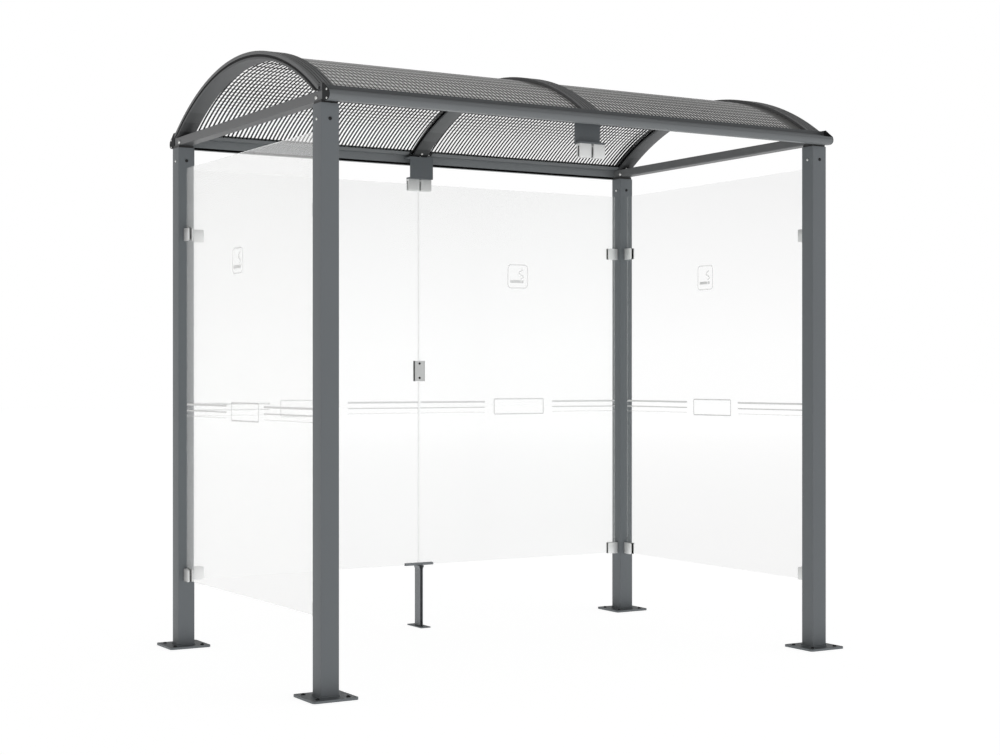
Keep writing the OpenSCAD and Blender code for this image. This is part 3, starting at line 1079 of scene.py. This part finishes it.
def weld_bead(mesh, x, y):
    """A rippled fillet weld round the foot of a post."""
    low = post_low.z
    rings = []
    for i, (spot, out) in enumerate(weld_path()):
        reach = WELD_SIZE * (1 + RIPPLE * math.sin(i * RIPPLE_ANGLE))
        root = spot - out * WELD_SIZE * 0.2
        belly = spot + out * reach * 0.6
        section = [(root, low), (spot + out * reach, low), (belly, low + reach * 0.6)]
        section += [(spot + out * WELD_SIZE * 0.05, low + reach), (root, low + reach)]
        rings.append([mesh.verts.new((x + s.x, y + s.y, z)) for s, z in section])
    bridge(mesh, rings, loop=True)


def post_welds():
    """The weld between each post and its base plate."""
    mesh = bmesh.new()
    for end, side in CORNERS:
        weld_bead(mesh, *post_place(end, side))
    piece("post_welds", mesh, POST_PAINT, smooth=60)


post_welds()


def joint_screws():
    """Two screws through the plates that join the rear glass."""
    places = []
    for z in (plates_low.z + JOINT_SCREW_UP, plates_high.z - JOINT_SCREW_DOWN):
        places.append(((0, plates_low.y, z), (0, -1, 0)))
        places.append(((0, plates_high.y, z), (0, 1, 0)))
    screws("joint_plate_screws", places, JOINT_SCREW, DARK_SCREW)


joint_screws()

SHADE_STRIP_W = 2 * MM
SHADE_STRIP_GAP = 0.1 * MM


def joint_shade_strips():
    """Black strips along both sides of the joint plates: painted shade at their edges."""
    low, high = plates_low, plates_high
    depths = ((low.y, glass_low.y - SHADE_STRIP_GAP), (glass_high.y + SHADE_STRIP_GAP, high.y))
    mesh = bmesh.new()
    for x_from in (low.x - SHADE_STRIP_W, high.x + SHADE_STRIP_GAP):
        for y_from, y_to in depths:
            far = (x_from + SHADE_STRIP_W - SHADE_STRIP_GAP, y_to, high.z)
            block(mesh, (x_from, y_from, low.z), far)
    piece("joint_plate_shade_strips", mesh, RUBBER)


joint_shade_strips()


def hole_shade_heads():
    """A low dark head in each hole of the base plates: painted shade for the holes."""
    places = []
    for end, side in CORNERS:
        x, y = post_place(end, side)
        for along in (-ANCHOR_OUT, ANCHOR_OUT):
            for across in (-ANCHOR_OUT, ANCHOR_OUT):
                places.append(((x + along, y + across, post_low.z), (0, 0, 1)))
    screws("hole_shade_heads", places, HOLE_SHADE_HEAD, DARK_SCREW)


hole_shade_heads()

# ---- prints on the glass ----

FILM_T = 0.15 * MM
FILM_GAP = 0.03 * MM
LINES = ((1150 * MM, 9 * MM), (1121 * MM, 6 * MM), (1095 * MM, 3 * MM))
FRAME_Z = (1082 * MM, 1167 * MM)
FRAME_W = 311 * MM
FRAME_LINE = 6 * MM
FRAME_CORNER = 8 * MM
LINE_END = 3 * MM
LINE_GAP = 54 * MM
FAINT_LINE = 4 * MM
JOINT_SEAL_W = 3.5 * MM
JOINT_SEAL_OFF = 0.5 * MM
JOINT_SEAL_END = 4 * MM


class Pane:
    """One sheet of glass as a drawing board: u runs along it, v is the height."""

    def __init__(self, name, start, along, normal):
        self.name = name
        self.start = Vector(start)
        self.along = Vector(along)
        self.normal = Vector(normal)

    def put(self, mesh, u, v, depth):
        """A vertex on the pane, that far off its face."""
        point = self.start + self.along * u + self.normal * (FILM_GAP + depth)
        return mesh.verts.new((point.x, point.y, v))

    def film(self, mesh, outline):
        """A thin patch of film with that outline."""
        rings = [[self.put(mesh, u, v, depth) for u, v in outline] for depth in (0, FILM_T)]
        bridge(mesh, rings)

    def band(self, mesh, first, second, loop=True):
        """A band of film between two lines with as many points, closed round or with two ends."""
        rings = []
        for one, other in zip(first, second):
            section = [self.put(mesh, *one, 0), self.put(mesh, *one, FILM_T)]
            section += [self.put(mesh, *other, FILM_T), self.put(mesh, *other, 0)]
            rings.append(section)
        bridge(mesh, rings, loop)


def frame_band(pane, mesh, u_from, u_to, v_from, v_to, line, corner):
    """An empty frame with round corners."""
    outer = rounded(u_from, u_to, v_from, v_to, corner)
    inner = rounded(u_from + line, u_to - line, v_from + line, v_to - line, corner - line)
    pane.band(mesh, outer, inner)


def stroke(pane, mesh, points, width):
    """A curved line of film of that width."""
    left_side = []
    right_side = []
    for i, point in enumerate(points):
        along = (points[min(i + 1, len(points) - 1)] - points[max(i - 1, 0)]).normalized()
        across = Vector((-along.y, along.x)) * width / 2
        left_side.append(point + across)
        right_side.append(point - across)
    pane.band(mesh, left_side, right_side, loop=False)


def prints(pane, length, frame_from):
    """Three lines from edge to edge, broken by an empty frame."""
    frame_to = frame_from + FRAME_W
    runs = ((LINE_END, frame_from - LINE_GAP), (frame_to + LINE_GAP, length - LINE_END))
    lines = bmesh.new()
    faint = bmesh.new()
    for height, width in LINES:
        target = faint if width < FAINT_LINE else lines
        for u_from, u_to in runs:
            pane.film(target, rectangle(u_from, u_to, height - width / 2, height + width / 2))
    frame_band(pane, lines, frame_from, frame_to, *FRAME_Z, FRAME_LINE, FRAME_CORNER)
    piece(f"print_lines_{pane.name}", lines, PRINT)
    piece(f"print_thin_line_{pane.name}", faint, FAINT_PRINT)


def joint_seal(pane, length):
    """A seal along the right edge of a pane, above and below the plates that join the rear panes."""
    u_to = length - JOINT_SEAL_OFF
    u_from = u_to - JOINT_SEAL_W
    mesh = bmesh.new()
    for low, high in ((glass_low.z, plates_low.z), (plates_high.z, glass_high.z)):
        pane.film(mesh, rectangle(u_from, u_to, low + JOINT_SEAL_END, high - JOINT_SEAL_END))
    piece(f"joint_seal_{pane.name}", mesh, PRINT)


SIGN_HALF = 64 * MM
LEFT_SIGN_HALF = 59 * MM
SIGN_LINE = 6 * MM
SIGN_CORNER = 22 * MM
CIGARETTE_DOWN = 34 * MM
CIGARETTE_T = 14 * MM
CIGARETTE_BARS = ((46 * MM, 18 * MM), (-22 * MM, 36 * MM))
SMOKE_W = 7 * MM
SMOKE_X = 20 * MM
SMOKE_UP = 22 * MM
SMOKE_HEIGHT = 50 * MM
SMOKE_STEPS = 40
SMOKE_HALF_TURNS = 2.4


def smoking_sign(pane, u, v, half=SIGN_HALF):
    """A generic smoking sign: a cigarette with a curl of smoke in a rounded square."""
    low = v - CIGARETTE_DOWN
    outline = bmesh.new()
    frame_band(pane, outline, u - half, u + half, v - half, v + half, SIGN_LINE, SIGN_CORNER)
    curl = []
    for i in range(SMOKE_STEPS + 1):
        share = i / SMOKE_STEPS
        angle = share * math.pi * SMOKE_HALF_TURNS
        across = u + SMOKE_X + math.sin(angle) * (16 - 6 * share) * MM
        curl.append(Vector((across, low + SMOKE_UP + share * SMOKE_HEIGHT)))
    stroke(pane, outline, curl, SMOKE_W)
    piece(f"sign_outline_{pane.name}", outline, FAINT_PRINT)
    bars = bmesh.new()
    for left_of, right_of in CIGARETTE_BARS:
        pane.film(bars, rectangle(u - left_of, u + right_of, low, low + CIGARETTE_T))
    piece(f"sign_bars_{pane.name}", bars, PRINT)


# How far left of the middle a rear pane's frame sits, and where a side pane's frame starts. Signs
# have a height, and a place along the pane or, at the sides, a depth from the shelter's middle.
REAR_RIGHT_SHIFT = 11 * MM
REAR_LEFT_SHIFT = 4 * MM
RIGHT_FRAME = 597 * MM
LEFT_FRAME = 551 * MM
REAR_SIGN = (589 * MM, 1813 * MM)
RIGHT_SIGN = (41 * MM, 1790 * MM)
LEFT_SIGN = (114 * MM, 1795 * MM)


def glass_prints():
    """The prints of the four panes, each drawn from its own left edge."""
    side_low, side_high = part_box("glass_right")
    rear_run = glass_high.x - glass_low.x
    side_run = side_high.y - side_low.y
    rear_right = Pane("rear_right", (glass_low.x, glass_low.y, 0), (1, 0, 0), (0, -1, 0))
    rear_left = Pane("rear_left", (-glass_high.x, glass_low.y, 0), (1, 0, 0), (0, -1, 0))
    right = Pane("right", (side_low.x, side_high.y, 0), (0, -1, 0), (-1, 0, 0))
    left = Pane("left", (glass_outer_x, side_high.y, 0), (0, -1, 0), (-1, 0, 0))
    for pane, shift in ((rear_right, REAR_RIGHT_SHIFT), (rear_left, REAR_LEFT_SHIFT)):
        prints(pane, rear_run, (rear_run - FRAME_W) / 2 - shift)
    for pane, start in ((right, RIGHT_FRAME), (left, LEFT_FRAME)):
        prints(pane, side_run, start)
    joint_seal(rear_left, rear_run)
    smoking_sign(rear_right, *REAR_SIGN)
    smoking_sign(right, side_high.y - RIGHT_SIGN[0], RIGHT_SIGN[1])
    smoking_sign(left, side_high.y - LEFT_SIGN[0], LEFT_SIGN[1], LEFT_SIGN_HALF)


glass_prints()

# ---- studio ----

FLOOR_HALF = 60
FLOOR_SQUARES = 24
FLOOR_DROP = 0.2 * MM
FLOOR_LIFT = 0.88
FLOOR_GLOW = 1.2
GLASS_SHADE = 0.09


def studio_floor():
    """A pale floor that runs far out, white except where the shelter shades it."""
    mesh = bmesh.new()
    squares = FLOOR_SQUARES
    bmesh.ops.create_grid(mesh, x_segments=squares, y_segments=squares, size=FLOOR_HALF)
    bmesh.ops.translate(mesh, verts=mesh.verts, vec=(0, 0, -FLOOR_DROP))
    floor = made_of("floor", mesh)
    finish = Finish("studio_floor")
    cloud = finish.noise(0.6, 2)
    pale = finish.mix(cloud, (0.35, 0.35, 0.35, 1), (0.37, 0.37, 0.37, 1))
    matt = finish.add("ShaderNodeBsdfDiffuse", {"Color": pale}).outputs[0]
    path = finish.add("ShaderNodeLightPath")
    through = path.outputs["Is Transmission Ray"]
    distance = finish.add("ShaderNodeVectorMath", {0: finish.place}, operation="LENGTH")
    # Painted reflection: seen through the glass, the floor near the shelter is a little darker.
    near = finish.span(distance.outputs["Value"], GLASS_SHADE, 0, 3, 35)
    shade = finish.maths("MULTIPLY", near, through)
    eye = finish.maths("MAXIMUM", path.outputs["Is Camera Ray"], through)
    lift = finish.maths("SUBTRACT", finish.span(eye, FLOOR_GLOW, FLOOR_LIFT), shade)
    emission = finish.add("ShaderNodeEmission", {"Color": (1, 1, 1, 1), "Strength": lift})
    both = finish.add("ShaderNodeAddShader", {0: matt, 1: emission.outputs[0]})
    floor.data.materials.append(finish.done(both.outputs[0]))


# The light from front to back and from left to right, and the rise over which the sky dims.
LIGHT_BY_DEPTH = (1.3, 0.85)
LIGHT_BY_WIDTH = (0.62, 1.12)
WARM_WHITE = (1, 0.955, 0.92, 1)
SKY_RISE = (0.25, 0.5)
SKY_LOW = 0.25


def studio_light():
    """A soft white world: bright round the horizon and dim overhead, white behind the shelter."""
    world = bpy.data.worlds.new("studio")
    bpy.context.scene.world = world
    world.use_nodes = True
    sky = Nodes(world.node_tree)
    way = sky.add("ShaderNodeTexCoord").outputs["Generated"]
    parts = sky.add("ShaderNodeSeparateXYZ", {"Vector": way})
    height = sky.maths("ABSOLUTE", parts.outputs["Z"])
    path = sky.add("ShaderNodeLightPath")

    def glow(strength, colour=(1, 1, 1, 1)):
        node = sky.add("ShaderNodeBackground", {"Color": colour, "Strength": strength})
        return node.outputs[0]

    front = sky.span(parts.outputs["Y"], *LIGHT_BY_DEPTH, -1, 1)
    side = sky.span(parts.outputs["X"], *LIGHT_BY_WIDTH, -1, 1)
    leftward = sky.span(parts.outputs["X"], 1, 0, -0.9, -0.3)
    warmth = sky.mix(leftward, (1, 1, 1, 1), WARM_WHITE)
    band = sky.span(height, 1.2, SKY_LOW, *SKY_RISE, smooth=True)
    mirrored = sky.span(height, 1.0, SKY_LOW, *SKY_RISE, smooth=True)
    # Painted reflection: seen through the glass, the sky away from the horizon is a little darker.
    behind_glass = sky.span(height, 1.0, 0.92, 0.015, 0.1)
    seen = sky.span(path.outputs["Is Transmission Ray"], 1.0, behind_glass)
    eye = sky.maths("MAXIMUM", path.outputs["Is Camera Ray"], path.outputs["Is Transmission Ray"])
    lit = sky.maths("MULTIPLY", band, sky.maths("MULTIPLY", front, side))
    surface = sky.blend(path.outputs["Is Glossy Ray"], glow(lit, warmth), glow(mirrored))
    surface = sky.blend(eye, surface, glow(seen))
    output = sky.add("ShaderNodeOutputWorld")
    sky.feed(output.inputs["Surface"], surface)


studio_floor()
studio_light()
bpy.context.scene.view_settings.view_transform = "Standard"
